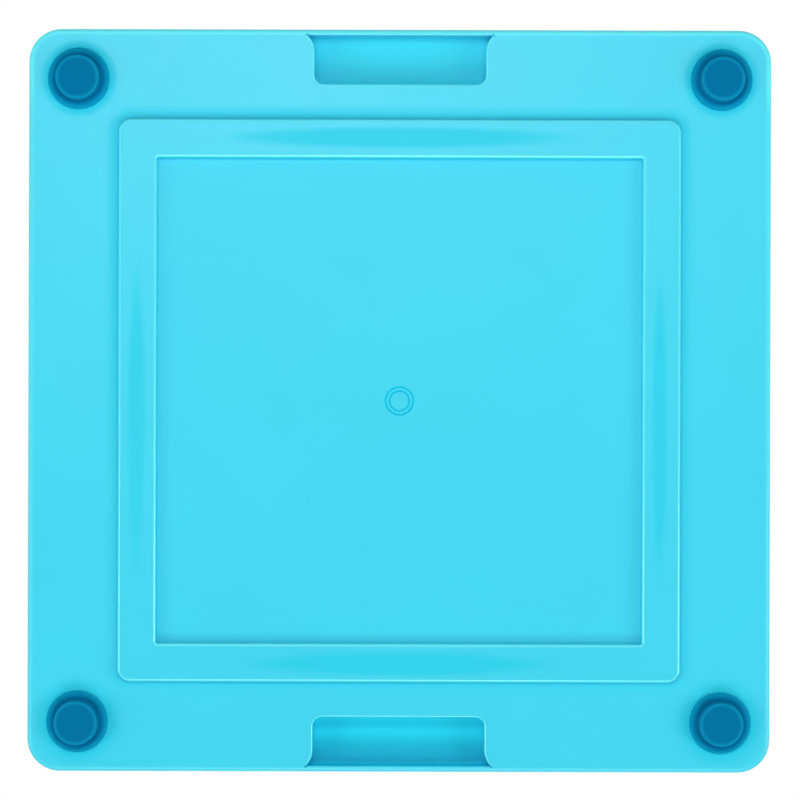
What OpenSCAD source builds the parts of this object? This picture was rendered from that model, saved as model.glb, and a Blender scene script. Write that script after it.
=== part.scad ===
// Lick mat in a holder tray: a soft licking mat that drops into a moulded tray on four push-in rubber feet.
// Millimetres, +Z up. The origin is on the floor, under the middle of the tray.

/* [Lick mat] */
// Width of the square licking mat
mat_w = 200; // [170:1:230]
// Width of the mat's thick rim
mat_rim_w = 7.8; // [6.5:0.1:10]
// Thickness of the mat's floor
mat_floor_t = 2; // [1.5:0.1:3]
// Depth of the licking surface below the rim
lick_depth = 2.4; // [2.2:0.1:4]
// Height of the nubs and ridges on the licking surface
texture_h = 2; // [1:0.1:2.1]
// Width of the cross rib between the four textures
cross_rib_w = 2.4; // [1.6:0.1:4]
// Play between the mat and the tray on every side
mat_play = 1; // [0.3:0.1:1.2]
// Gap under the seated mat
seat_gap = 0.1; // [0:0.05:0.3]

/* [Licking textures] */
// Nubs along one side of the nub texture
nub_count = 9; // [5:1:10]
// Diameter of a nub at its foot
nub_d = 4.4; // [3:0.1:5]
// Diameter of a nub at its tip
nub_tip_d = 3.4; // [2:0.1:3.9]
// Ridges in the ridge texture
ridge_count = 12; // [6:1:14]
// Width of a ridge
ridge_w = 2.6; // [1.6:0.1:3.2]
// Bare margin at the ends of the ridges
ridge_margin = 4; // [3:0.5:8]
// Rings along one side of the ring texture
ring_count = 5; // [3:1:6]
// Outer diameter of a ring
ring_d = 13.2; // [9:0.1:13.6]
// Wall of a ring
ring_wall = 1.6; // [1:0.1:2]
// Cells along one side of the cell texture
cell_count = 8; // [4:1:9]
// Wall between two cells
cell_wall = 1.8; // [1:0.1:2.5]

/* [Tray] */
// Moulded wall thickness
wall = 2.2; // [1.8:0.1:2.8]
// Width of the flat border outside the mat's seat
border_w = 33.1; // [30:0.1:42]
// Radius of the tray's corners in plan
tray_corner_r = 12; // [8:0.5:16]
// Height of the rim above the tray's underside
rim_h = 11; // [9:0.5:16]
// Rounding of the tray's lower edge
lower_edge_r = 1.8; // [0.8:0.1:2]
// Rounding of the rim's upper edges
rim_edge_r = 1; // [0.5:0.1:1]
// Fillet between the rim and the border
rim_fillet_r = 1.5; // [0.5:0.1:2]
// Drop of the seat ring below the tray's underside
seat_drop = 2.6; // [1.5:0.1:3.5]
// Radius of the seat ring's corners in plan
seat_corner_r = 4.8; // [4.2:0.1:8]
// Rounding of the seat ring's lower edges
seat_edge_r = 1.2; // [0.4:0.1:1.4]
// Depth of the middle panel, from the face of the seat ring
panel_depth = 3.6; // [3:0.1:4.5]
// Radius of the panel's corners in plan
panel_corner_r = 0.6; // [0.5:0.1:3]
// Draft of the seat's and the panel's walls, in degrees
draft = 3; // [0:0.5:5]
// Diameter of the groove round the moulding gate in the panel
gate_d = 10.2; // [9:0.1:16]
// Diameter of the groove round the gate's stub
gate_stub_d = 7.2; // [4:0.1:8]
// Width of the gate's grooves
gate_groove_w = 0.8; // [0.4:0.1:1]
// Depth of the gate's grooves
gate_depth = 0.4; // [0.2:0.1:0.8]

/* [Finger grips] */
// Length of the finger recess under each grip
grip_w = 63; // [50:1:90]
// Depth of the recess, from the rim inwards
grip_d = 18; // [15:0.5:20]
// Radius of the recess's inner corners in plan
grip_corner_r = 3.5; // [2:0.5:6]
// Radius of the flare where the recess meets the rim
grip_flare_r = 8; // [6:0.5:10]
// Rounding of the recess's lower edge
grip_edge_r = 0.7; // [0.3:0.1:1]
// Fillet under the roof of the recess
grip_roof_r = 2.5; // [1:0.5:3]

/* [Feet] */
// Height of the feet under the tray
foot_h = 6; // [5:0.5:10]
// Distance of a foot's centre from the tray's edges
foot_inset = 18.4; // [15:0.1:19]
// Diameter of the pad that meets the floor
pad_d = 16.3; // [12:0.1:18]
// Diameter of the flange under the tray
flange_d = 22.5; // [20:0.1:25]
// Thickness of the flange
flange_t = 1.6; // [1:0.1:2.2]
// Diameter of the neck through the tray
neck_d = 9; // [6:0.1:10]
// Diameter of the head above the tray
head_d = 13; // [12:0.1:15]
// Height of the head
head_h = 2; // [1.8:0.1:3]
// Radial clearance of the neck in its hole
neck_clearance = 0.1; // [0.05:0.05:0.3]
// Rounding of the pad's edge
pad_edge_r = 0.8; // [0.3:0.1:1.2]
// Rounding of the flange's edge, limited by the flange's thickness
flange_edge_r = 1.2; // [0.3:0.1:1.6]
// Rounding of a foot's other edges
foot_edge_r = 0.5; // [0.2:0.1:0.7]

/* [Hidden] */
$fn = 64;
// How far a cutter reaches past the face that it cuts
over = 0.4;
// Angle by which the rounding of a recess's flare runs on into the rim
flare_run_on = 4;

// Plan sizes, from the mat outwards
channel_w = mat_rim_w + 2 * mat_play;
seat_w = mat_w + 2 * mat_play + 2 * wall;
tray_w = seat_w + 2 * border_w;
platform_w = seat_w - 2 * (wall + channel_w);
panel_w = platform_w - 2 * wall;
lick_w = mat_w - 2 * mat_rim_w;
bowl_corner_r = seat_corner_r - wall;
mat_corner_r = bowl_corner_r - mat_play;
platform_corner_r = panel_corner_r + wall;
hollow_corner_r = platform_corner_r + mat_play;
inner_corner_r = tray_corner_r - wall;

// Heights, from the floor upwards
under_z = foot_h;
ring_z = under_z - seat_drop;
bowl_z = ring_z + wall;
panel_z = ring_z + panel_depth;
platform_z = panel_z + wall;
border_z = under_z + wall;
rim_z = under_z + rim_h;
roof_z = rim_z - wall;
mat_bottom_z = bowl_z + seat_gap;
mat_floor_z = platform_z + seat_gap;
lick_z = mat_floor_z + mat_floor_t;
mat_top_z = lick_z + lick_depth;

// Rounding of the mat's edges, limited by the corner that it runs round
mat_edge_r = min(1, 0.9 * mat_corner_r);
quarter_w = (lick_w - cross_rib_w) / 2;
flange_round_r = min(flange_edge_r, 0.8 * flange_t);
foot_x = tray_w / 2 - foot_inset;
plastic = "#45D6F0";
mat_rubber = "#2FC3DD";
foot_rubber = "#0176A5";

// Unit vector from one point towards another
function towards(a, b) = (b - a) / norm(b - a);

// Distance from a corner to where a fillet of radius r leaves its two edges
function fillet_reach(u, v, r) = r / tan(acos(u * v) / 2);

// What a fillet of radius r takes off the corner p between the directions u and v
module corner_tip(p, u, v, r) {
    reach = fillet_reach(u, v, r);
    bisector = towards([0, 0], u + v);
    centre = p + bisector * norm([reach, r]);
    difference() {
        polygon([p - bisector * over, p + u * reach, centre, p + v * reach]);
        translate(centre) circle(r);
    }
}

// A polygon whose outward corner i is rounded to radii[i]
module rounded_polygon(points, radii) {
    n = len(points);
    difference() {
        polygon(points);
        for (i = [0 : n - 1]) if (radii[i] > 0)
            corner_tip(
                points[i],
                towards(points[i], points[(i + 1) % n]),
                towards(points[i], points[(i + n - 1) % n]),
                radii[i]
            );
    }
}

// A rounded square solid. The child is its edge section: x from the corner's centre outwards, y for height
module square_block(w, r, low, high) {
    side = w - 2 * r;
    translate([-side / 2, -side / 2, low]) cube([side, side, high - low]);
    for (k = [0 : 3]) rotate(90 * k) translate([side / 2, side / 2, 0]) {
        rotate_extrude(angle = 90) children();
        rotate([90, 0, 0]) linear_extrude(side) children();
    }
}

// A straight-walled rounded square solid
module plain_block(w, r, low, high) {
    square_block(w, r, low, high) translate([0, low]) square([r, high - low]);
}

// Sweeps a section along a path that starts northwards: [length] runs straight, [radius, angle] turns, left positive.
// The section's x is to the right of the path, its y is height.
module sweep(steps, i = 0) {
    if (i < len(steps)) {
        size = steps[i][0];
        turn = len(steps[i]) > 1 ? steps[i][1] : 0;
        if (turn == 0) {
            translate([0, size, 0]) {
                rotate([90, 0, 0]) linear_extrude(size) children();
                sweep(steps, i + 1) children();
            }
        } else if (turn > 0) {
            translate([-size, 0, 0]) {
                rotate_extrude(angle = turn) translate([size, 0]) children();
                rotate(turn) translate([size, 0, 0]) sweep(steps, i + 1) children();
            }
        } else {
            translate([size, 0, 0]) {
                rotate(180) rotate_extrude(angle = turn) translate([size, 0]) mirror([1, 0]) children();
                rotate(turn) translate([-size, 0, 0]) sweep(steps, i + 1) children();
            }
        }
    }
}

// Section of a cutter that rounds an edge at the origin: the material is at x > 0, y < 0
module edge_round(r) {
    difference() {
        translate([-over, -r]) square([r + over, r + over]);
        translate([r, -r]) circle(r);
    }
}

// Section of a fillet in a corner at the origin: the material is at x > 0 and at y < 0
module corner_fillet(r) {
    difference() {
        translate([-r, -over]) square([r + over, r + over]);
        translate([-r, r]) circle(r);
    }
}

// Plan of a finger recess grown by some amount: x along the rim, y inwards from the rim's inner face
module grip_plan(grow, outer) {
    half = grip_w / 2 + grow;
    corner = grip_corner_r + grow;
    flare_y = grip_flare_r - wall;
    difference() {
        union() {
            translate([-half, -outer]) square([2 * half, outer + grip_d + grow - corner]);
            translate([corner - half, 0]) square([2 * (half - corner), grip_d + grow]);
            for (side = [-1, 1]) translate([side * (half - corner), grip_d + grow - corner]) circle(corner);
            translate([-grip_w / 2 - grip_flare_r, -outer]) square([grip_w + 2 * grip_flare_r, outer + flare_y]);
        }
        for (side = [-1, 1]) translate([side * (grip_w / 2 + grip_flare_r), flare_y]) circle(grip_flare_r - grow);
    }
}

// Half of the edge round the tray's inside, from the middle of one plain side to the next, past one grip
function inside_path() =
    let (
        inner = tray_w / 2 - wall,
        flare = grip_flare_r - wall,
        corner = grip_corner_r + wall,
        side_run = grip_d + wall - flare - corner,
        rim_run = inner - inner_corner_r - grip_w / 2 - grip_flare_r
    )
    [
        [inner - inner_corner_r], [inner_corner_r, 90], [rim_run], [flare, 90], [side_run],
        [corner, -90], [grip_w + 2 * wall - 2 * corner], [corner, -90],
        [side_run], [flare, 90], [rim_run], [inner_corner_r, 90], [inner - inner_corner_r]
    ];

// Both halves of that edge
module inside_edges(height) {
    for (k = [0, 1]) rotate(180 * k) translate([tray_w / 2 - wall, 0, height]) sweep(inside_path()) children();
}

// Places a child at both grips, with y inwards from the rim's inner face
module at_grips() {
    for (k = [0, 1]) rotate(180 * k) translate([0, tray_w / 2 - wall, 0]) mirror([0, 1, 0]) children();
}

// Places a child at the centre of one foot
module at_foot(side_x, side_y) {
    translate([side_x * foot_x, side_y * foot_x, 0]) children();
}

// The tray's outside with its rounded edges
module tray_shell() {
    r = tray_corner_r;
    square_block(tray_w, r, under_z, rim_z)
        rounded_polygon([[0, under_z], [r, under_z], [r, rim_z], [0, rim_z]], [0, lower_edge_r, rim_edge_r, 0]);
}

// What is hollowed out of the tray from above, round the two grips
module tray_inside() {
    difference() {
        plain_block(tray_w - 2 * wall, inner_corner_r, border_z, rim_z + over);
        translate([0, 0, border_z - over]) at_grips()
            linear_extrude(rim_h + 2 * over) grip_plan(wall, wall + over);
    }
}

// The sunken seat under the tray, solid
module seat_outside() {
    r = seat_corner_r;
    spread = (border_z - ring_z) * tan(draft);
    square_block(seat_w, r, ring_z, border_z)
        rounded_polygon(
            [[0, ring_z], [r - spread, ring_z], [r, border_z], [0, border_z]], [0, seat_edge_r, 0, 0]
        );
}

// The recess of the middle panel, with its rounded mouth
module panel_recess() {
    r = panel_corner_r;
    taper = panel_depth * tan(draft);
    lean = [-sin(draft), cos(draft)];
    mouth = fillet_reach([1, 0], lean, seat_edge_r);
    side = panel_w - 2 * r;
    translate([0, 0, ring_z]) {
        square_block(panel_w, r, -over, panel_depth) {
            polygon([[0, -over], [r, -over], [r, 0], [max(0, r - taper), panel_depth], [0, panel_depth]]);
        }
        for (k = [0 : 3]) rotate(90 * k) translate([side / 2, side / 2, 0]) {
            rotate_extrude(angle = 90) panel_mouth(r, lean, mouth);
            rotate([90, 0, 0]) linear_extrude(side) panel_mouth(r, lean, mouth);
        }
    }
}

// Section that rounds the lower edge of the panel's wall
module panel_mouth(r, lean, mouth) {
    corner_tip([r, 0], [1, 0], lean, seat_edge_r);
    translate([r, -over]) square([mouth, over]);
}

// The two round grooves that the moulding gate leaves in the middle of the panel
module gate_grooves() {
    half = gate_groove_w / 2;
    for (d = [gate_d, gate_stub_d]) rotate_extrude() translate([d / 2, 0])
        polygon([[-half, -over], [half, -over], [half, 0], [0, gate_depth], [-half, 0]]);
}

// One finger recess, from below, with the fillet under its roof
module grip_recess() {
    low = under_z - over;
    far = grip_w / 2 + grip_flare_r;
    intersection() {
        translate([0, 0, low]) linear_extrude(roof_z - low) grip_plan(0, 0);
        translate([-far, 0, 0]) rotate([90, 0, 90]) linear_extrude(2 * far)
            rounded_polygon(
                [[0, low], [grip_d, low], [grip_d, roof_z], [0, roof_z]], [0, 0, grip_roof_r, grip_roof_r]
            );
    }
}

// Rounds the lower edge of one finger recess, round its inner end and along its flares into the rim
module grip_mouth() {
    flare_y = grip_flare_r - wall;
    flare_turn = asin(flare_y / grip_flare_r) + flare_run_on;
    half_path = [
        [grip_w / 2 - grip_corner_r], [grip_corner_r, 90],
        [grip_d - grip_corner_r - flare_y], [grip_flare_r, -flare_turn]
    ];
    translate([0, grip_d, under_z]) mirror([0, 0, 1])
        for (side = [0, 1]) mirror([side, 0, 0]) mirror([0, 1, 0])
            rotate(-90) sweep(half_path) edge_round(grip_edge_r);
}

module tray() {
    color(plastic) difference() {
        union() {
            difference() {
                union() {
                    difference() {
                        tray_shell();
                        tray_inside();
                    }
                    seat_outside();
                }
                plain_block(seat_w - 2 * wall, bowl_corner_r, bowl_z, border_z + over);
            }
            plain_block(platform_w, platform_corner_r, ring_z + seat_edge_r, platform_z);
            inside_edges(border_z) corner_fillet(rim_fillet_r);
        }
        inside_edges(rim_z) edge_round(rim_edge_r);
        panel_recess();
        translate([0, 0, panel_z]) gate_grooves();
        at_grips() {
            grip_recess();
            grip_mouth();
        }
        for (side_x = [-1, 1], side_y = [-1, 1]) at_foot(side_x, side_y)
            translate([0, 0, under_z - over]) cylinder(h = wall + 2 * over, d = neck_d + 2 * neck_clearance);
    }
}

// Round nubs in rows
module nub_texture() {
    pitch = quarter_w / nub_count;
    for (i = [0 : nub_count - 1], j = [0 : nub_count - 1])
        translate([(i + 0.5) * pitch, (j + 0.5) * pitch, -over])
            cylinder(h = texture_h + over, d1 = nub_d, d2 = nub_tip_d);
}

// Straight ridges with round ends
module ridge_texture() {
    pitch = quarter_w / ridge_count;
    start = ridge_margin + ridge_w / 2;
    for (i = [0 : ridge_count - 1]) translate([0, (i + 0.5) * pitch, -over]) {
        translate([start, -ridge_w / 2, 0]) cube([quarter_w - 2 * start, ridge_w, texture_h + over]);
        for (x = [start, quarter_w - start]) translate([x, 0, 0]) cylinder(h = texture_h + over, d = ridge_w);
    }
}

// Rings with a nub in the middle of each
module ring_texture() {
    pitch = quarter_w / ring_count;
    for (i = [0 : ring_count - 1], j = [0 : ring_count - 1])
        translate([(i + 0.5) * pitch, (j + 0.5) * pitch, -over]) {
            difference() {
                cylinder(h = texture_h + over, d = ring_d);
                translate([0, 0, -over]) cylinder(h = texture_h + 3 * over, d = ring_d - 2 * ring_wall);
            }
            cylinder(h = texture_h + over, d1 = nub_d, d2 = nub_tip_d);
        }
}

// Square cells between crossing walls, which reach into the rim and the cross rib
module cell_texture() {
    pitch = quarter_w / cell_count;
    for (i = [1 : cell_count - 1]) {
        translate([i * pitch - cell_wall / 2, -over, -over])
            cube([cell_wall, quarter_w + 2 * over, texture_h + over]);
        translate([-over, i * pitch - cell_wall / 2, -over])
            cube([quarter_w + 2 * over, cell_wall, texture_h + over]);
    }
}

// The two ribs that part the licking surface into quarters
module cross_ribs() {
    long = lick_w + 2 * over;
    for (turn = [0, 90]) rotate(turn)
        translate([-long / 2, -cross_rib_w / 2, -over]) cube([long, cross_rib_w, texture_h + over]);
}

// Section of the mat's outer edge
module mat_edge() {
    r = mat_corner_r;
    rounded_polygon(
        [[0, mat_bottom_z], [r, mat_bottom_z], [r, mat_top_z], [0, mat_top_z]],
        [0, mat_edge_r / 2, mat_edge_r, 0]
    );
}

module lick_mat() {
    side = lick_w - 2 * hollow_corner_r;
    mouth_path = [[side], [hollow_corner_r, 90]];
    color(mat_rubber) {
        difference() {
            square_block(mat_w, mat_corner_r, mat_bottom_z, mat_top_z) mat_edge();
            plain_block(lick_w, hollow_corner_r, mat_bottom_z - over, mat_floor_z);
            plain_block(lick_w, hollow_corner_r, lick_z, mat_top_z + over);
            for (k = [0 : 3]) rotate(90 * k)
                translate([lick_w / 2, -side / 2, mat_top_z]) sweep(mouth_path) edge_round(mat_edge_r);
        }
        translate([0, 0, lick_z]) {
            cross_ribs();
            translate([cross_rib_w / 2, cross_rib_w / 2, 0]) nub_texture();
            rotate(90) translate([cross_rib_w / 2, cross_rib_w / 2, 0]) ridge_texture();
            rotate(180) translate([cross_rib_w / 2, cross_rib_w / 2, 0]) ring_texture();
            rotate(270) translate([cross_rib_w / 2, cross_rib_w / 2, 0]) cell_texture();
        }
    }
}

// One push-in foot: pad and flange below the tray, neck through it, head above it
module foot(side_x, side_y) {
    flange_z = under_z - flange_t;
    head_z = border_z + head_h;
    color(foot_rubber) at_foot(side_x, side_y) {
        rotate_extrude() rounded_polygon(
            [
                [0, 0], [pad_d / 2, 0], [pad_d / 2, flange_z], [flange_d / 2, flange_z],
                [flange_d / 2, under_z], [neck_d / 2, under_z], [neck_d / 2, border_z],
                [head_d / 2, border_z], [head_d / 2, head_z], [0, head_z]
            ],
            [0, pad_edge_r, 0, flange_round_r, 0, 0, 0, foot_edge_r / 2, 2 * foot_edge_r, 0]
        );
        rotate_extrude() translate([pad_d / 2, flange_z]) rotate(180) corner_fillet(foot_edge_r);
    }
}

tray();
lick_mat();
foot(-1, -1);  // foot_front_left
foot(1, -1);  // foot_front_right
foot(-1, 1);  // foot_rear_left
foot(1, 1);  // foot_rear_right
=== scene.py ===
import math
from types import SimpleNamespace

import bmesh
import bpy
import numpy as np
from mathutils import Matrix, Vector


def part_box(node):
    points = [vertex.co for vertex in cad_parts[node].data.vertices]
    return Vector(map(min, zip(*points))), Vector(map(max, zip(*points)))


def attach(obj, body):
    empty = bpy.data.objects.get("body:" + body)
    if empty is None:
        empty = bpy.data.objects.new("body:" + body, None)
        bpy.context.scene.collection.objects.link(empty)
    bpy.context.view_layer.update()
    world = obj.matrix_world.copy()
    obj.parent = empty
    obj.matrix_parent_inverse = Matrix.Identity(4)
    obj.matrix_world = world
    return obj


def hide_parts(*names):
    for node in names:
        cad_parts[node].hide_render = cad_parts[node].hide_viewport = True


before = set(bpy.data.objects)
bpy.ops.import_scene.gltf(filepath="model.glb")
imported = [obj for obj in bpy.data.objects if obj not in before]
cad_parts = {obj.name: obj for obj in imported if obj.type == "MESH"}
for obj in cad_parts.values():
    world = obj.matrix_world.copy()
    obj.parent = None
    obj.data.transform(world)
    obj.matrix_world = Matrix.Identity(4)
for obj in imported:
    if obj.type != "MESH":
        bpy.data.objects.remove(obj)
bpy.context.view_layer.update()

# Lengths are in millimetres and colours are linear, unless a comment says otherwise
MM = 0.001

# Sides of the tray along y
FRONT = -1
REAR = 1

# Camera: straight below the tray, looking up, with the scale taken at the tray's underside
FRAME_PX = 800
MM_PER_PX = 0.3668
TRAY_CENTRE_PX = (399.35, 400.8)
CAMERA_FAR = 980
CAMERA_TURN = math.radians(-0.165)
CAMERA_CLIP = 10
SENSOR = 36
UNDER_Z = 6

# Soft boxes: name, place, width and depth in metres, and share of a plain light level
LAMPS = [
    ("below_main", (-0.04, -0.25, -0.62), 0.44, 0.09, 0.249),
    ("below_rear", (0, 2.20, -2.00), 0.80, 0.80, 0.16),
    ("below_fill", (0.10, 0.10, -1.60), 1.00, 1.00, 0.04),
    ("below_left", (-0.80, 0.22, -0.50), 0.30, 0.45, 0.11),
    ("below_right", (0.80, 0.22, -0.50), 0.30, 0.45, 0.134),
    ("above_main", (-0.45, -0.55, 1.0), 0.60, 0.60, 0.42),
    ("above_side", (0.8, 0.1, 0.8), 0.70, 0.70, 0.14),
    ("above_rear", (0.1, 0.9, 0.7), 0.60, 0.60, 0.12),
]
AMBIENT = 0.342

# Floor: a little under the feet, so that no ray meets both at once, and white away from the object
FLOOR_DROP = 0.05
FLOOR_HALF = 3000
FLOOR_NEAR = 900
FLOOR_COLOUR = (0.9, 0.9, 0.9)

# Tray colours: two of the flats, a painted highlight on the edges and a stronger one on the rims to the
# front, painted shade in the creases, painted light on the recess roofs and painted shade at the rear
# recess's end
TRAY_COLOUR = (0.0005, 0.615, 0.814)
TRAY_PALE = (0.003, 0.638, 0.838)
TRAY_EDGE_HIGHLIGHT = (0.080, 0.845, 0.965)
TRAY_FRONT_HIGHLIGHT = (0.105, 0.915, 0.985)
TRAY_CREASE_SHADE = (0.0002, 0.530, 0.745)
TRAY_ROOF_LIGHT = (0.001, 0.662, 0.832)
TRAY_REAR_SHADE = (0.0001, 0.460, 0.665)

# Tray finish: noise as cells to the metre and detail, relief as depth and strength
TRAY_SPECULAR = 0.86
TRAY_CLOUDS = (18, 3)
TRAY_GRAIN = (1400, 2)
TRAY_RELIEF = (0.04, 0.25)

# Range that most values of a noise lie in
NOISE_RANGE = (0.3, 0.7)

# Roughness of the tray's zones
ROUGH_BORDER = 0.46
ROUGH_CLOUD = 0.02
ROUGH_BAND = 0.45
ROUGH_PANEL = 0.54
ROUGH_EDGE = 0.20
ROUGH_BY_BAND = 0.75
ROUGH_BY_FOOT = 1.0
ROUGH_LIP = 1.0
ROUGH_ROOFS = {FRONT: 0.70, REAR: 1.0}

# Matte streaks along the band under the seat: centre and reach in x and y, and roughness
STREAKS = [
    ((0.5, -96.3), (72, 4.6), 0.75),
    ((-96.2, 9), (4.2, 69), 0.78),
    ((95.2, 10.5), (3.8, 68), 0.82),
    ((0, 96.3), (72, 5.6), 0.88),
]
STREAK_REACH_Z = 2
STREAK_CORE = 0.5
BAND_Z = 3.4

# Recess roofs, as flat ellipsoids
ROOF_Y = 125.1
ROOF_Z = 14.8
ROOF_REACH = (90, 26, 1.6)

# Share of an ellipsoid's reach in which its mask is whole, unless another one is given
SOFT_CORE = 0.45

# Where the tray's zones fade in or out, by height
BAND_EDGE_TOP = (4.2, 4.9)
BAND_TOP = (4.5, 5.5)
ABOVE_BAND = (4.5, 5.2)
PANEL_BOTTOM = (6.3, 6.7)
PANEL_TOP = (7.6, 8.0)
UNDERSIDE_TOP = (6.4, 7.0)
LOWER_TOP = (8.4, 9.4)

# Squares with round corners that follow the band and the outline: how far out their sides are straight,
# and a height over every point, which keeps height out of the distance
BAND_STRAIGHT = 98.4
OUTLINE_STRAIGHT = 124.3
ABOVE_ALL = 100

# Where zones fade in or out by distance from the middle, along those squares, or from the band's foot
BAND_FOOT = 103.45
CREASE_FADE = (0.15, 0.6)
BY_BAND_START = (102.6, 103)
BY_BAND_END = (BAND_FOOT + 0.8, BAND_FOOT + 4.8)
MOUTH_START = (111, 112)
INSIDE_END = (133.4, 133.9)
OUTLINE_START = (133.9, 135.7)
LIP_END = (134.5, 134.8)

# Where they do along x or y, and the strength of the outline's painted highlight at the front and the
# rear
LIP_X = (35, 39)
LIP_Y = (-133.2, -132.8)
FRONT_Y = (-115, -105)
REAR_SHADE_Y = (123.5, 133.5)
OUTLINE_Y = (-130, 130)
OUTLINE_HIGHLIGHT = (0.95, 0.35)

# Matte halos round the feet: their width, and how far to the front or the rear they are whole
HALO_W = {FRONT: 3.2, REAR: 7.0}
HALO_WHOLE_Y = 50

# Where edges fade in or out by how level a face is, from 0 for upright to 1 for level
GLOSSY_EDGE = (0.88, 0.985)
PALE_EDGE = (0.93, 0.997)
OUTLINE_LEVEL = (0.2, 0.6)
LIP_LEVEL = (0.3, 0.8)

# Rubber finish: clouds as cells to the metre and detail, relief as depth and strength
RUBBER_CLOUDS = (45, 4)
RUBBER_GRAIN_DETAIL = 3
RUBBER_RELIEF = (0.05, 0.3)
RUBBER_ROUGH_CLOUD = 0.04

# Foot: roughness, specular level and grain, and colours by radius, with painted light and shade
FOOT_FINISH = (0.80, 0.03, 900)
FOOT_COLOURS_AND_PAINTED_LIGHT = [
    # pad; its edge, with a painted highlight; the step behind it, with painted shade; and the inside and
    # outside of the thin flange, with painted shade inside and painted light outside
    (6.4, (0.0004, 0.176, 0.370)),
    (7.7, (0.0030, 0.285, 0.500)),
    (8.6, (0.0004, 0.140, 0.320)),
    (9.5, (0.0006, 0.215, 0.435)),
    (10.8, (0.0020, 0.325, 0.540)),
]

# Mat: roughness, specular level and grain, and colours
MAT_FINISH = (0.6, 0.3, 1200)
MAT_COLOUR = (0.010, 0.470, 0.630)
MAT_PALE = (0.020, 0.520, 0.680)

# Mat sizes
mat_low, mat_high = (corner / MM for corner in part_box("lick_mat"))
MAT_W = mat_high.x - mat_low.x
MAT_RIM_W = 7.8
LICK_W = MAT_W - 2 * MAT_RIM_W
MAT_BOTTOM_Z = mat_low.z
MAT_FLOOR_Z = 9.3
LICK_Z = 11.3
RIM_H = mat_high.z - LICK_Z
TEXTURE_H = 2
RIB_W = 2.4
MAT_CORNER_R = 1.6
HOLLOW_CORNER_R = 3.8
RIM_EDGE_R = 1
SOFT_R = 0.5
QUARTER_W = (LICK_W - RIB_W) / 2
NUB_COUNT = 9
RIDGE_COUNT = 12
RIDGE_W = 2.6
RIDGE_MARGIN = 4
RING_COUNT = 5
RING_R = 6.6
RING_WALL = 1.6
CELL_COUNT = 8
CELL_WALL = 1.8
POCKET_CORNER_R = 1.2
TEXTURE_INSET = 0.75

# Soft sections of the textures, as a distance and a height over the licking surface. The distance is
# from a nub's axis, outwards from a ridge's or a ring's wall, and inwards from a pocket cell's border
NUB_SECTION = [(0.9, 2.0), (1.4, 1.94), (1.68, 1.6), (2.08, 0.42), (2.35, 0.08), (2.8, 0)]
RIDGE_SECTION = [(-0.8, 2.0), (-0.35, 1.93), (-0.08, 1.6), (0, 0.45), (0.2, 0.1), (0.6, 0)]
RING_SECTION = [(0.6, 0), (0.2, 0.1), (0, 0.45), (-0.06, 1.6), (-0.3, 1.94)]
POCKET_SECTION = [(3.2, 0), (1.5, 0), (1.1, 0.1), (0.93, 0.45), (0.88, 1.6), (0.68, 1.93)]

# Soft walls round a quarter: distance outwards at the ribs and at the rim, then height at each
WALL_SECTION = [
    (-0.55, -0.55, 0, 0),
    (-0.16, -0.16, 0.14, 0.14),
    (0, 0, 0.5, 0.5),
    (0.02, 0.02, 1.55, 1.45),
    (0.13, 0.3, 1.87, 2.1),
    (0.45, 1.0, TEXTURE_H, RIM_H),
]
WALL_CORNER_R = 0.9
RIM_LAND = 1.4
RIM_BLEND = 1.2
SQUARE_ZONE = 1.2

# Points of the mat's mesh: on a quarter's side, on half a corner, the share in a pocket's corners, along
# half a ridge, and on the roundings of the rim's top and of the other edges
SIDE_STEPS = 44
CORNER_STEPS = 5
POCKET_CORNER_SHARE = 0.5
RIDGE_STEPS = 10
RIM_ARC_STEPS = 3
SOFT_ARC_STEPS = 2

# Smallest share that a point's place in a loop is divided by
TINY = 1e-6

# Foot sizes
foot_low, foot_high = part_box("foot_rear_right")
FOOT_MID = (foot_low.x + foot_high.x) / 2 / MM
FOOT_EDGE_R = 0.5
PAD_R = 8.15
PAD_EDGE_R = 0.8
FLANGE_R = 11.25
FLANGE_T = 1.6
FLANGE_EDGE_R = 1.2
FLANGE_TOP_R = 0.2
NECK_R = 4.5
HEAD_R = 6.5
HEAD_H = 2
HEAD_LOW_R = 0.25
HEAD_TOP_R = 1
FLAT_INSET = 3.5
BORDER_Z = 8.2
FOOT_STEPS = 96
ARC_STEPS = 6
SMALL_ARC_STEPS = 3

# Mesh clean-up: points this near are welded, and normals follow large faces by this weight
WELD = 0.002
LARGE_FACE_WEIGHT = 80


# Meshes

def new_piece(name, verts, faces):
    """A smooth mesh object from points in millimetres, whose flat faces keep their own normals."""
    mesh = bpy.data.meshes.new(name)
    mesh.from_pydata([tuple(v) for v in np.asarray(verts, float) * MM], [], faces)
    piece = bpy.data.objects.new(name, mesh)
    bpy.context.scene.collection.objects.link(piece)
    shape = bmesh.new()
    shape.from_mesh(mesh)
    bmesh.ops.remove_doubles(shape, verts=shape.verts, dist=WELD * MM)
    bmesh.ops.recalc_face_normals(shape, faces=shape.faces)
    for face in shape.faces:
        face.smooth = True
    shape.to_mesh(mesh)
    shape.free()
    weighted = piece.modifiers.new("even_normals", "WEIGHTED_NORMAL")
    weighted.keep_sharp = True
    weighted.weight = LARGE_FACE_WEIGHT
    return piece


def dress(piece, material):
    piece.data.materials.clear()
    piece.data.materials.append(material)


def arc(centre_r, centre_z, radius, start, end, steps=ARC_STEPS):
    """Points of a rounding in a section, angles in degrees."""
    angles = np.radians(np.linspace(start, end, steps + 1))
    return [(centre_r + radius * math.cos(a), centre_z + radius * math.sin(a)) for a in angles]


# Shader nodes

def new_material(name):
    material = bpy.data.materials.new(name)
    material.use_nodes = True
    tree = material.node_tree
    shader = tree.nodes["Principled BSDF"]
    return material, tree, shader


def texture_coords(tree, kind="Object"):
    return tree.nodes.new("ShaderNodeTexCoord").outputs[kind]


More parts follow.
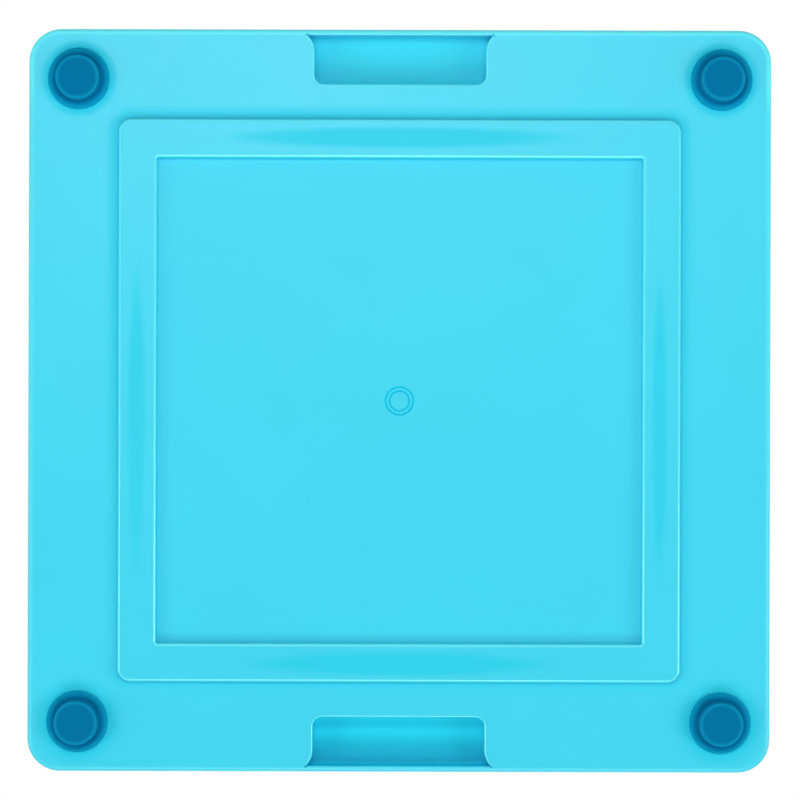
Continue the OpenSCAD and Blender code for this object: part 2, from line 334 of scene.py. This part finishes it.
def part_axis(tree, vector, axis):
    node = tree.nodes.new("ShaderNodeSeparateXYZ")
    tree.links.new(vector, node.inputs["Vector"])
    return node.outputs[axis]


def noise(tree, coords, scale, detail):
    """Noise of a given number of cells to the metre."""
    node = tree.nodes.new("ShaderNodeTexNoise")
    node.inputs["Scale"].default_value = scale
    node.inputs["Detail"].default_value = detail
    tree.links.new(coords, node.inputs["Vector"])
    return node.outputs["Fac"]


def bump(tree, shader, height, depth, strength):
    node = tree.nodes.new("ShaderNodeBump")
    node.inputs["Strength"].default_value = strength
    node.inputs["Distance"].default_value = depth * MM
    tree.links.new(height, node.inputs["Height"])
    tree.links.new(node.outputs["Normal"], shader.inputs["Normal"])


def spread(tree, value, low, high, start, end, kind="LINEAR"):
    """A value brought from the range start to end to the range low to high."""
    node = tree.nodes.new("ShaderNodeMapRange")
    node.interpolation_type = kind
    node.inputs["From Min"].default_value = start
    node.inputs["From Max"].default_value = end
    node.inputs["To Min"].default_value = low
    node.inputs["To Max"].default_value = high
    tree.links.new(value, node.inputs["Value"])
    return node.outputs["Result"]


def rise(tree, value, zone, unit=MM):
    """0 before a zone and 1 after it."""
    return spread(tree, value, 0, 1, zone[0] * unit, zone[1] * unit)


def fall(tree, value, zone, unit=MM):
    """1 before a zone and 0 after it."""
    return spread(tree, value, 1, 0, zone[0] * unit, zone[1] * unit)


def clouded(tree, cloud, low, high):
    """Noise brought to the range low to high."""
    return spread(tree, cloud, low, high, *NOISE_RANGE)


def combine(tree, operation, first, second=0):
    """A number from one or two others, each a node output or a plain number."""
    node = tree.nodes.new("ShaderNodeMath")
    node.operation = operation
    for value, socket in zip((first, second), node.inputs):
        if isinstance(value, (int, float)):
            socket.default_value = value
        else:
            tree.links.new(value, socket)
    return node.outputs["Value"]


def overlap(tree, first, *others):
    """1 where all the masks are 1."""
    for mask in others:
        first = combine(tree, "MULTIPLY", first, mask)
    return first


def combine_vectors(tree, operation, first, second=None):
    """A vector operation on a node output and, where it takes one, a plain vector."""
    node = tree.nodes.new("ShaderNodeVectorMath")
    node.operation = operation
    tree.links.new(first, node.inputs[0])
    if second is not None:
        node.inputs[1].default_value = second
    return node.outputs["Value" if operation in ("LENGTH", "DISTANCE") else "Vector"]


def toward(tree, value, target, mask):
    """A value that goes over to a target where the mask is 1."""
    node = tree.nodes.new("ShaderNodeMix")
    node.data_type = "FLOAT"
    node.inputs["B"].default_value = target
    tree.links.new(mask, node.inputs["Factor"])
    tree.links.new(value, node.inputs["A"])
    return node.outputs["Result"]


def blend_colours(tree, factor, first, second):
    """The first colour, plain or from a node, going over to a second plain one."""
    node = tree.nodes.new("ShaderNodeMix")
    node.data_type = "RGBA"
    if isinstance(first, tuple):
        node.inputs["A"].default_value = (*first, 1)
    else:
        tree.links.new(first, node.inputs["A"])
    node.inputs["B"].default_value = (*second, 1)
    tree.links.new(factor, node.inputs["Factor"])
    return node.outputs["Result"]


def blend_shaders(tree, factor, first, second):
    node = tree.nodes.new("ShaderNodeMixShader")
    tree.links.new(factor, node.inputs["Fac"])
    tree.links.new(first, node.inputs[1])
    tree.links.new(second, node.inputs[2])
    return node.outputs["Shader"]


def ellipsoid_mask(tree, coords, centre, reach, core=SOFT_CORE):
    """1 in the core of an ellipsoid, fading to 0 at its surface."""
    shifted = combine_vectors(tree, "SUBTRACT", coords, Vector(centre) * MM)
    scaled = combine_vectors(tree, "DIVIDE", shifted, Vector(reach) * MM)
    length = combine_vectors(tree, "LENGTH", scaled)
    return spread(tree, length, 1, 0, core, 1, kind="SMOOTHSTEP")


def square_reach(tree, coords, straight):
    """How far out a point lies, by squares with round corners whose sides are straight to a distance."""
    mirrored = combine_vectors(tree, "ABSOLUTE", coords)
    corner = Vector((straight, straight, ABOVE_ALL)) * MM
    beyond = combine_vectors(tree, "SUBTRACT", mirrored, corner)
    outside = combine_vectors(tree, "MAXIMUM", beyond, (0, 0, 0))
    return combine(tree, "ADD", combine_vectors(tree, "LENGTH", outside), straight * MM)


def axis_reach(tree, coords, axis=(0, 0, 0)):
    """How far a point lies from an upright axis."""
    level = combine_vectors(tree, "MULTIPLY", coords, (1, 1, 0))
    return combine_vectors(tree, "DISTANCE", level, Vector(axis) * MM)


# Tray

def tray_places(tree):
    """Where a point of the tray lies and how level its face is, as node outputs."""
    coords = texture_coords(tree)
    mirrored = combine_vectors(tree, "ABSOLUTE", coords)
    normal = texture_coords(tree, "Normal")
    return SimpleNamespace(
        coords=coords,
        aside=part_axis(tree, mirrored, "X"),
        y=part_axis(tree, coords, "Y"),
        z=part_axis(tree, coords, "Z"),
        from_foot=axis_reach(tree, mirrored, (FOOT_MID, FOOT_MID, 0)),
        by_band=square_reach(tree, coords, BAND_STRAIGHT),
        by_outline=square_reach(tree, coords, OUTLINE_STRAIGHT),
        level=combine(tree, "ABSOLUTE", part_axis(tree, normal, "Z")),
    )


def tray_masks(tree, at):
    """Masks that both the roughness and the colour of the tray use."""
    lip = overlap(
        tree,
        fall(tree, at.level, LIP_LEVEL, unit=1),
        fall(tree, at.aside, LIP_X),
        fall(tree, at.y, LIP_Y),
        fall(tree, at.by_outline, LIP_END),
    )
    roofs = {
        side: ellipsoid_mask(tree, at.coords, (0, side * ROOF_Y, ROOF_Z), ROOF_REACH)
        for side in (FRONT, REAR)
    }
    return SimpleNamespace(
        underside=fall(tree, at.z, UNDERSIDE_TOP),
        above_band=rise(tree, at.z, ABOVE_BAND),
        lower=fall(tree, at.z, LOWER_TOP),
        inside=fall(tree, at.by_outline, INSIDE_END),
        lip=lip,
        roofs=roofs,
    )


def tray_roughness(tree, at, masks, cloud):
    """Each flat has its own gloss, edges are glossy, and streaks, halos and recesses are matte."""
    rough = clouded(tree, cloud, ROUGH_BORDER - ROUGH_CLOUD, ROUGH_BORDER + ROUGH_CLOUD)
    rough = toward(tree, rough, ROUGH_BAND, fall(tree, at.z, BAND_TOP))
    panel = overlap(tree, rise(tree, at.z, PANEL_BOTTOM), fall(tree, at.z, PANEL_TOP))
    rough = toward(tree, rough, ROUGH_PANEL, panel)
    for centre, reach, matte in STREAKS:
        middle = (*centre, BAND_Z)
        streak = ellipsoid_mask(tree, at.coords, middle, (*reach, STREAK_REACH_Z), STREAK_CORE)
        rough = toward(tree, rough, matte, streak)
    by_band = overlap(
        tree,
        rise(tree, at.by_band, BY_BAND_START),
        fall(tree, at.by_band, BY_BAND_END),
        masks.above_band,
        masks.underside,
    )
    rough = toward(tree, rough, ROUGH_BY_BAND, by_band)
    for side, width in HALO_W.items():
        halo = fall(tree, at.from_foot, (FLANGE_R, FLANGE_R + width))
        to_side = rise(tree, at.y, (0, side * HALO_WHOLE_Y))
        rough = toward(tree, rough, ROUGH_BY_FOOT, overlap(tree, halo, masks.underside, to_side))
    for side, matte in ROUGH_ROOFS.items():
        rough = toward(tree, rough, matte, masks.roofs[side])
    edges = overlap(tree, fall(tree, at.level, GLOSSY_EDGE, unit=1), masks.lower, masks.inside)
    rough = toward(tree, rough, ROUGH_EDGE, edges)
    return toward(tree, rough, ROUGH_LIP, masks.lip)


def tray_colour(tree, at, masks, cloud):
    """Clouded flats, painted highlights on the edges and outline, painted shade in the creases and on the
    front lip, painted light on the recess roofs, and painted shade that darkens the rear recess outwards.
    """
    colour = blend_colours(tree, clouded(tree, cloud, 0, 1), TRAY_COLOUR, TRAY_PALE)
    # Painted light: the recess roofs get a paler colour
    for roof in masks.roofs.values():
        colour = blend_colours(tree, roof, colour, TRAY_ROOF_LIGHT)
    # Painted shade: the rear recess's roof darkens towards its outer end
    deep = overlap(tree, masks.roofs[REAR], rise(tree, at.y, REAR_SHADE_Y))
    colour = blend_colours(tree, deep, colour, TRAY_REAR_SHADE)
    # Painted shade: a dark line along the crease at the band's foot
    from_crease = combine(tree, "SUBTRACT", at.by_band, BAND_FOOT * MM)
    crease_shade = fall(tree, combine(tree, "ABSOLUTE", from_crease), CREASE_FADE)
    colour = blend_colours(tree, overlap(tree, crease_shade, masks.above_band), colour, TRAY_CREASE_SHADE)
    # Painted highlight: the band's edges, the recess mouths and the outline turn paler where light would
    # catch them
    edges = fall(tree, at.level, PALE_EDGE, unit=1)
    band_edge_highlight = overlap(tree, edges, fall(tree, at.z, BAND_EDGE_TOP))
    mouth = overlap(tree, edges, rise(tree, at.by_band, MOUTH_START), masks.inside, masks.underside)
    outline = overlap(
        tree,
        rise(tree, at.by_outline, OUTLINE_START),
        spread(tree, at.y, *OUTLINE_HIGHLIGHT, OUTLINE_Y[0] * MM, OUTLINE_Y[1] * MM),
        rise(tree, at.level, OUTLINE_LEVEL, unit=1),
        masks.lower,
    )
    rim = combine(tree, "MAXIMUM", outline, mouth)
    colour = blend_colours(tree, combine(tree, "MAXIMUM", band_edge_highlight, rim), colour, TRAY_EDGE_HIGHLIGHT)
    # Painted highlight, paler still on the rims at the front, where less light reaches them
    front_rim_highlight = overlap(tree, rim, fall(tree, at.y, FRONT_Y))
    colour = blend_colours(tree, front_rim_highlight, colour, TRAY_FRONT_HIGHLIGHT)
    # Painted shade on the front recess's lip
    return blend_colours(tree, masks.lip, colour, TRAY_CREASE_SHADE)


def tray_plastic():
    """Satin moulded plastic with a fine grain."""
    material, tree, shader = new_material("tray_plastic_look")
    at = tray_places(tree)
    masks = tray_masks(tree, at)
    cloud = noise(tree, at.coords, *TRAY_CLOUDS)
    tree.links.new(tray_colour(tree, at, masks, cloud), shader.inputs["Base Color"])
    tree.links.new(tray_roughness(tree, at, masks, cloud), shader.inputs["Roughness"])
    shader.inputs["Specular IOR Level"].default_value = TRAY_SPECULAR
    bump(tree, shader, noise(tree, at.coords, *TRAY_GRAIN), *TRAY_RELIEF)
    return material


# Rubber

def rubber(name, roughness, specular, grain):
    """Soft rubber without its colour, with a grain of so many cells to the metre."""
    material, tree, shader = new_material(name)
    coords = texture_coords(tree)
    cloud = noise(tree, coords, *RUBBER_CLOUDS)
    rough = clouded(tree, cloud, roughness - RUBBER_ROUGH_CLOUD, roughness + RUBBER_ROUGH_CLOUD)
    tree.links.new(rough, shader.inputs["Roughness"])
    shader.inputs["Specular IOR Level"].default_value = specular
    bump(tree, shader, noise(tree, coords, grain, RUBBER_GRAIN_DETAIL), *RUBBER_RELIEF)
    return material, tree, shader, cloud


def mat_rubber():
    """Turquoise rubber with a clouded colour."""
    material, tree, shader, cloud = rubber("mat_rubber_look", *MAT_FINISH)
    colour = blend_colours(tree, clouded(tree, cloud, 0, 1), MAT_COLOUR, MAT_PALE)
    tree.links.new(colour, shader.inputs["Base Color"])
    return material


def foot_rubber():
    """Dark rubber whose colour by radius paints a highlight on the pad's edge, shade in the step behind
    it, and shade on the flange's inside going over to light on its outside.
    """
    material, tree, shader, _ = rubber("foot_rubber_look", *FOOT_FINISH)
    radius = axis_reach(tree, texture_coords(tree))
    # Painted highlight and shade by radius, from the pad's edge out over the flange
    ramp = tree.nodes.new("ShaderNodeValToRGB")
    stops = ramp.color_ramp.elements
    while len(stops) < len(FOOT_COLOURS_AND_PAINTED_LIGHT):
        stops.new(1)
    for stop, (r, colour) in zip(stops, FOOT_COLOURS_AND_PAINTED_LIGHT):
        stop.position = r / FLANGE_R
        stop.color = (*colour, 1)
    tree.links.new(rise(tree, radius, (0, FLANGE_R)), ramp.inputs["Fac"])
    tree.links.new(ramp.outputs["Color"], shader.inputs["Base Color"])
    return material


# Feet

def foot_section():
    """Section of a foot, from the flat of its pad to the flat of its head."""
    flange_z = UNDER_Z - FLANGE_T
    head_z = BORDER_Z + HEAD_H
    return [
        (PAD_R - FLAT_INSET, 0),
        *arc(PAD_R - PAD_EDGE_R, PAD_EDGE_R, PAD_EDGE_R, -90, 0),
        *arc(PAD_R + FOOT_EDGE_R, flange_z - FOOT_EDGE_R, FOOT_EDGE_R, 180, 90),
        *arc(FLANGE_R - FLANGE_EDGE_R, flange_z + FLANGE_EDGE_R, FLANGE_EDGE_R, -90, 0),
        *arc(FLANGE_R - FLANGE_TOP_R, UNDER_Z - FLANGE_TOP_R, FLANGE_TOP_R, 0, 90, SMALL_ARC_STEPS),
        (NECK_R, UNDER_Z),
        (NECK_R, BORDER_Z),
        *arc(HEAD_R - HEAD_LOW_R, BORDER_Z + HEAD_LOW_R, HEAD_LOW_R, -90, 0, SMALL_ARC_STEPS),
        *arc(HEAD_R - HEAD_TOP_R, head_z - HEAD_TOP_R, HEAD_TOP_R, 0, 90),
        (HEAD_R - FLAT_INSET, head_z),
    ]


def turned_mesh(section):
    """Points and faces of a closed piece that is turned about z."""
    turns = np.linspace(0, 2 * math.pi, FOOT_STEPS, endpoint=False)
    verts = [(r * math.cos(t), r * math.sin(t), z) for r, z in section for t in turns]
    faces = []
    last = len(section) - 1
    for row in range(last):
        for step in range(FOOT_STEPS):
            ahead = (step + 1) % FOOT_STEPS
            here = row * FOOT_STEPS
            above = here + FOOT_STEPS
            faces.append((here + step, here + ahead, above + ahead, above + step))
    for row in (0, last):
        verts.append((0, 0, section[row][1]))
        for step in range(FOOT_STEPS):
            ahead = (step + 1) % FOOT_STEPS
            faces.append((row * FOOT_STEPS + step, row * FOOT_STEPS + ahead, len(verts) - 1))
    return verts, faces


def make_foot(node, material):
    low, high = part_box(node)
    middle = (low + high) / 2
    foot = new_piece(node + "_rubber", *turned_mesh(foot_section()))
    foot.location = (middle.x, middle.y, 0)
    dress(foot, material)
    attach(foot, "holder")
    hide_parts(node)


# Mat: each texture cell is a grid of nested loops, from its middle to its border

def cell_points(loops, extra=0):
    """Grid of points of one cell, whose middle is drawn out along x by extra steps to each side.

    A loop is half its width in x and y, its corner radius, the share of its points in corners, and z."""
    count = len(loops)
    spine = loops[0][0] - loops[0][1] if extra else 0
    table = np.array([(spine, 0, 0, 1, loops[0][4]), *loops], float)
    along, across = np.meshgrid(
        np.arange(-count - extra, count + extra + 1), np.arange(-count, count + 1), indexing="ij"
    )
    held = np.clip(along, -extra, extra)
    u = along - held
    k = np.maximum(abs(u), abs(across))
    half_x, half_y, corner, share, z = np.moveaxis(table[k], -1, 0)
    straight = (half_x - half_y) * held / extra if extra else 0
    half_x = half_y if extra else half_x
    f = np.minimum(abs(u), abs(across)) / np.maximum(k, 1)
    turn = np.clip((f - 1 + share) / np.maximum(share, TINY), 0, 1) * math.pi / 4
    run = np.clip(f / np.maximum(1 - share, TINY), 0, 1)
    wide = abs(u) >= abs(across)
    far_x = half_x - corner + corner * np.cos(turn)
    far_y = half_y - corner + corner * np.cos(turn)
    near_x = (half_x - corner) * run + corner * np.sin(turn)
    near_y = (half_y - corner) * run + corner * np.sin(turn)
    x = np.sign(u) * np.where(wide, far_x, near_x) + straight
    y = np.sign(across) * np.where(wide, near_y, far_y)
    return np.stack([x, y, z + 0 * x], axis=-1)


def round_cell(section, half_x, half_y):
    """A cell with a turned texture on its floor, whose section runs outwards from its axis."""
    loops = [(r, r, r, 1, z) for r, z in section]
    return cell_points([*loops, (half_x, half_y, 0, 0, 0)])


def nub_cell(half_x, half_y):
    return round_cell(NUB_SECTION, half_x, half_y)


def ring_cell(half_x, half_y):
    """A ring with a nub in its middle."""
    half_wall = RING_WALL / 2
    mid = RING_R - half_wall
    inside = [(mid - half_wall - d, z) for d, z in RING_SECTION]
    outside = [(mid + half_wall + d, z) for d, z in reversed(RING_SECTION)]
    return round_cell([*NUB_SECTION, *inside, (mid, TEXTURE_H), *outside], half_x, half_y)


def ridge_cell(half_x, half_y):
    half_w = RIDGE_W / 2
    reach = half_x - RIDGE_MARGIN
    loops = [(reach + d, half_w + d, half_w + d, 1, z) for d, z in RIDGE_SECTION]
    return cell_points([*loops, (half_x, half_y, 0, 0, 0)], extra=RIDGE_STEPS)


def pocket_cell(half_x, half_y):
    """A square pocket between walls."""
    loops = [
        (half_x - d, half_y - d, POCKET_CORNER_R, POCKET_CORNER_SHARE, z)
        for d, z in POCKET_SECTION
    ]
    return cell_points([*loops, (half_x, half_y, 0, 0, TEXTURE_H)])


def patch(cuts_x, cuts_y, cell):
    """Grid of points of one quarter, from the cells between its cuts."""
    rows = []
    for x0, x1 in zip(cuts_x, cuts_x[1:]):
        column = []
        for y0, y1 in zip(cuts_y, cuts_y[1:]):
            points = cell((x1 - x0) / 2, (y1 - y0) / 2)
            column.append(points + ((x0 + x1) / 2, (y0 + y1) / 2, 0))
        rows.append(np.concatenate([column[0], *[c[:, 1:] for c in column[1:]]], axis=1))
    return np.concatenate([rows[0], *[r[1:] for r in rows[1:]]], axis=0)


def cuts(count):
    return np.linspace(0, QUARTER_W, count + 1)


def texture_quarters():
    """Grids of the four textures: nubs, ridges, rings and pockets."""
    walls = QUARTER_W / CELL_COUNT * np.arange(CELL_COUNT + 1)
    walls[0] -= CELL_WALL / 2
    walls[-1] += CELL_WALL / 2
    return [
        patch(cuts(NUB_COUNT), cuts(NUB_COUNT), nub_cell),
        patch(cuts(1), cuts(RIDGE_COUNT), ridge_cell),
        patch(cuts(RING_COUNT), cuts(RING_COUNT), ring_cell),
        patch(walls, walls, pocket_cell),
    ]


def corner_point(corner, along, inside, r, turn, square):
    """A point of a rounded corner by its angle from the side, or of a square one with like steps."""
    if square:
        return corner + along * r * (1 - math.tan(turn))
    return corner + along * r * (1 - math.sin(turn)) + inside * r * (1 - math.cos(turn))


def quarter_loop(rib_out, rim_out, rib_z, rim_z, corner_r, rim_corner_r, square=False):
    """Closed loop round a quarter, outwards from its walls, from the corner at the mat's middle."""
    low, high = -rib_out, QUARTER_W + rim_out
    radii = [corner_r, corner_r, rim_corner_r, corner_r]
    corners = [(low, low), (high, low), (high, high), (low, high)]
    points = []
    for k in range(4):
        a, b = np.array(corners[k]), np.array(corners[(k + 1) % 4])
        a_r, b_r = radii[k], radii[(k + 1) % 4]
        along = (b - a) / np.linalg.norm(b - a)
        inside = np.array((-along[1], along[0]))
        for step in range(SIDE_STEPS):
            if step < CORNER_STEPS:
                turn = (1 - step / CORNER_STEPS) * math.pi / 4
                point = corner_point(a, along, inside, a_r, turn, square)
            elif step > SIDE_STEPS - CORNER_STEPS:
                turn = (step - SIDE_STEPS + CORNER_STEPS) / CORNER_STEPS * math.pi / 4
                point = corner_point(b, -along, inside, b_r, turn, square)
            else:
                t = (step - CORNER_STEPS) / (SIDE_STEPS - 2 * CORNER_STEPS)
                start = a + along * a_r
                end = b - along * b_r
                point = start + (end - start) * t
            points.append(point)
    points = np.array(points)
    into_blend = points.max(axis=1) - (QUARTER_W - RIM_BLEND)
    near_rim = np.clip(into_blend / (RIM_BLEND + max(rim_out, 0)), 0, 1)
    blend = near_rim * near_rim * (3 - 2 * near_rim)
    return np.column_stack([points, rib_z + (rim_z - rib_z) * blend])


def rim_line(half, corner, z):
    """A quarter of a loop round the mat's rim, from one middle line to the next."""
    straight = np.linspace(0, half - corner, SIDE_STEPS - CORNER_STEPS + 1)
    turns = np.linspace(0, math.pi / 4, CORNER_STEPS + 1)[1:]
    side = [(half, y) for y in straight]
    side += [(half - corner + corner * math.cos(t), half - corner + corner * math.sin(t)) for t in turns]
    points = side + [(y, x) for x, y in reversed(side[:-1])]
    return [(x, y, z) for x, y in points]


def round_corner(points, reach):
    """Pulls a quarter's points into the rounded corner at the mat's rim."""
    beyond = np.maximum(points[..., :2] - (QUARTER_W - HOLLOW_CORNER_R), 0)
    length = np.linalg.norm(beyond, axis=-1, keepdims=True)
    points[..., :2] -= beyond * (1 - reach / np.maximum(length, reach))


class Shell:
    """Points and faces of one mesh under construction."""

    def __init__(self):
        self.verts = []
        self.faces = []

    def add(self, points):
        start = len(self.verts)
        self.verts.extend(tuple(p) for p in points)
        return list(range(start, len(self.verts)))

    def grid(self, points):
        """Adds a grid and returns the sides of its border, from its lowest corner round to it again."""
        wide, deep = points.shape[:2]
        index = np.array(self.add(points.reshape(-1, 3))).reshape(wide, deep)
        corners = (index[:-1, :-1], index[1:, :-1], index[1:, 1:], index[:-1, 1:])
        self.faces.extend(np.stack(corners, axis=-1).reshape(-1, 4).tolist())
        return [index[:-1, 0], index[-1, :-1], index[:0:-1, -1], index[0, :0:-1]]

    def strip(self, first, second):
        for a, b, c, d in zip(first, first[1:], second[1:], second):
            self.faces.append((a, b, c, d))

    def ring(self, first, second):
        self.strip(first + first[:1], second + second[:1])

    def nearer(self, inner, i, other, j):
        """True where a step along the inner line is no longer than one along the other line."""
        inner_step = math.dist(self.verts[inner[i + 1]], self.verts[other[j]])
        other_step = math.dist(self.verts[inner[i]], self.verts[other[j + 1]])
        return inner_step <= other_step

    def zip_rings(self, sides, outer):
        """Joins a grid's border to a loop of another number of points, side by side."""
        steps = len(outer) // 4
        outer = outer + outer[:1]
        ends = [s[0] for s in sides[1:]] + [sides[0][0]]
        for k, side in enumerate(sides):
            inner = [int(v) for v in side] + [int(ends[k])]
            other = outer[k * steps : (k + 1) * steps + 1]
            i = j = 0
            while i < len(inner) - 1 or j < steps:
                at_end = j == steps
                if at_end or (i < len(inner) - 1 and self.nearer(inner, i, other, j)):
                    self.faces.append((inner[i], other[j], inner[i + 1]))
                    i += 1
                else:
                    self.faces.append((inner[i], other[j], other[j + 1]))
                    j += 1

    def shift(self, start, way):
        """Moves the points from a start on."""
        for v in range(start, len(self.verts)):
            self.verts[v] = tuple(a + b for a, b in zip(self.verts[v], way))

    def turn(self, start, quarters):
        """Turns the points from a start on about z, by right angles."""
        c = round(math.cos(quarters * math.pi / 2))
        s = round(math.sin(quarters * math.pi / 2))
        for v in range(start, len(self.verts)):
            x, y, z = self.verts[v]
            self.verts[v] = (c * x - s * y, s * x + c * y, z)


def add_quarter(shell, points):
    """Adds a texture and the walls round it, and returns the loop on top of these."""
    has_pockets = points[0, 0, 2] > 0
    if not has_pockets:
        points[..., :2] = np.clip(points[..., :2], TEXTURE_INSET, QUARTER_W - TEXTURE_INSET)
        round_corner(points, HOLLOW_CORNER_R - TEXTURE_INSET)
    border = shell.grid(points)
    top_loop = quarter_loop(RIB_W / 2, RIM_LAND, TEXTURE_H, RIM_H, SQUARE_ZONE, SQUARE_ZONE, square=True)
    top = shell.add(top_loop)
    if has_pockets:
        shell.zip_rings(border, top)
        return top
    loops = [
        shell.add(quarter_loop(rib, rim, rib_z, rim_z, WALL_CORNER_R + rib, HOLLOW_CORNER_R + rim))
        for rib, rim, rib_z, rim_z in WALL_SECTION
    ]
    shell.zip_rings(border, loops[0])
    for first, second in zip(loops, loops[1:] + [top]):
        shell.ring(first, second)
    return top


def add_rim(shell, edge):
    """Adds a quarter of the rim, from the given edge on its top down to the hollow underside's edge."""
    outer = MAT_W / 2
    inner = LICK_W / 2
    section = [
        *arc(outer - RIM_EDGE_R, LICK_Z + RIM_H - RIM_EDGE_R, RIM_EDGE_R, 90, 0, RIM_ARC_STEPS),
        *arc(outer - SOFT_R, MAT_BOTTOM_Z + SOFT_R, SOFT_R, 0, -90, SOFT_ARC_STEPS),
        *arc(inner + SOFT_R, MAT_BOTTOM_Z + SOFT_R, SOFT_R, 270, 180, SOFT_ARC_STEPS),
        *arc(inner - SOFT_R, MAT_FLOOR_Z - SOFT_R, SOFT_R, 0, 90, SOFT_ARC_STEPS),
    ]
    for half, z in section:
        on_rim = half > (inner + outer) / 2
        corner = MAT_CORNER_R + half - outer if on_rim else HOLLOW_CORNER_R + half - inner
        line = shell.add(rim_line(half, corner, z))
        shell.strip(edge, line)
        edge = line
    return edge


def make_mat(material):
    """The licking mat: four textured quarters, cross ribs, rim and hollow underside."""
    shell = Shell()
    underside = []
    for quarter, points in enumerate(texture_quarters()):
        start = len(shell.verts)
        top = add_quarter(shell, points)
        shell.shift(start, (RIB_W / 2, RIB_W / 2, LICK_Z))
        edge = add_rim(shell, top[SIDE_STEPS : 3 * SIDE_STEPS + 1])
        underside += edge[:-1]
        shell.turn(start, quarter)
    shell.faces.append(tuple(underside))
    mat = new_piece("lick_mat_rubber", shell.verts, shell.faces)
    dress(mat, material)
    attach(mat, "mat")
    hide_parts("lick_mat")


# Stage

def make_camera():
    camera = bpy.data.cameras.new("photo_camera")
    camera.sensor_width = SENSOR
    camera.lens = SENSOR * CAMERA_FAR / (FRAME_PX * MM_PER_PX)
    camera.clip_start = CAMERA_CLIP * MM
    holder = bpy.data.objects.new("photo_camera", camera)
    right = (FRAME_PX / 2 - TRAY_CENTRE_PX[0]) * MM_PER_PX
    up = (TRAY_CENTRE_PX[1] - FRAME_PX / 2) * MM_PER_PX
    holder.location = Vector((right, -up, UNDER_Z - CAMERA_FAR)) * MM
    holder.rotation_euler = (math.pi, 0, CAMERA_TURN)
    bpy.context.scene.collection.objects.link(holder)
    bpy.context.scene.camera = holder


def soft_light(name, place, wide, deep, share):
    """A soft box aimed at the object, which gives a level surface its share of a plain light level."""
    lamp = bpy.data.lights.new(name, "AREA")
    lamp.shape = "RECTANGLE"
    lamp.size = wide
    lamp.size_y = deep
    reach = -Vector(place)
    slant = abs(reach.normalized().z)
    lamp.energy = share * math.pi ** 2 * reach.length_squared / slant
    holder = bpy.data.objects.new(name, lamp)
    holder.location = place
    holder.rotation_euler = reach.to_track_quat("-Z", "Y").to_euler()
    holder.visible_camera = False
    bpy.context.scene.collection.objects.link(holder)


def make_world():
    """White where the camera, a gloss or glass looks at it, and a modest even light otherwise."""
    world = bpy.data.worlds.new("studio")
    bpy.context.scene.world = world
    world.use_nodes = True
    tree = world.node_tree
    path = tree.nodes.new("ShaderNodeLightPath")
    seen = combine(tree, "MAXIMUM", path.outputs["Is Camera Ray"], path.outputs["Is Glossy Ray"])
    seen = combine(tree, "MAXIMUM", seen, path.outputs["Is Transmission Ray"])
    background = tree.nodes["Background"]
    background.inputs["Color"].default_value = (1, 1, 1, 1)
    tree.links.new(spread(tree, seen, AMBIENT, 1, 0, 1), background.inputs["Strength"])
    world.cycles.sampling_method = "NONE"


def pale_floor():
    """A pale surface that takes a shadow, solid in a view from above and clear in one from below."""
    material, tree, shader = new_material("pale_floor")
    tree.nodes.remove(shader)
    near = tree.nodes.new("ShaderNodeBsdfDiffuse")
    near.inputs["Color"].default_value = (*FLOOR_COLOUR, 1)
    far = tree.nodes.new("ShaderNodeEmission")
    far.inputs["Color"].default_value = (1, 1, 1, 1)
    nearby = ellipsoid_mask(tree, texture_coords(tree), (0, 0, 0), (FLOOR_NEAR, FLOOR_NEAR, FLOOR_NEAR))
    pale = blend_shaders(tree, nearby, far.outputs["Emission"], near.outputs["BSDF"])
    clear = tree.nodes.new("ShaderNodeBsdfTransparent")
    path = tree.nodes.new("ShaderNodeLightPath")
    side = tree.nodes.new("ShaderNodeNewGeometry")
    from_above = combine(tree, "SUBTRACT", 1, side.outputs["Backfacing"])
    first_meeting = combine(tree, "LESS_THAN", path.outputs["Transparent Depth"], 0.5)
    solid = overlap(tree, from_above, first_meeting)
    whole = blend_shaders(tree, solid, clear.outputs["BSDF"], pale)
    tree.links.new(whole, tree.nodes["Material Output"].inputs["Surface"])
    return material


def make_floor():
    corners = [(-1, -1), (1, -1), (1, 1), (-1, 1)]
    verts = [Vector((x * FLOOR_HALF, y * FLOOR_HALF, -FLOOR_DROP)) * MM for x, y in corners]
    mesh = bpy.data.meshes.new("floor")
    mesh.from_pydata(verts, [], [(0, 1, 2, 3)])
    floor = bpy.data.objects.new("floor", mesh)
    bpy.context.scene.collection.objects.link(floor)
    dress(floor, pale_floor())


bpy.context.scene.view_settings.view_transform = "Standard"
make_camera()
for lamp_facts in LAMPS:
    soft_light(*lamp_facts)
make_world()
make_floor()
dress(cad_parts["tray"], tray_plastic())
foot_look = foot_rubber()
for foot_node in sorted(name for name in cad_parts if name.startswith("foot_")):
    make_foot(foot_node, foot_look)
make_mat(mat_rubber())

bpy.context.view_layer.update()
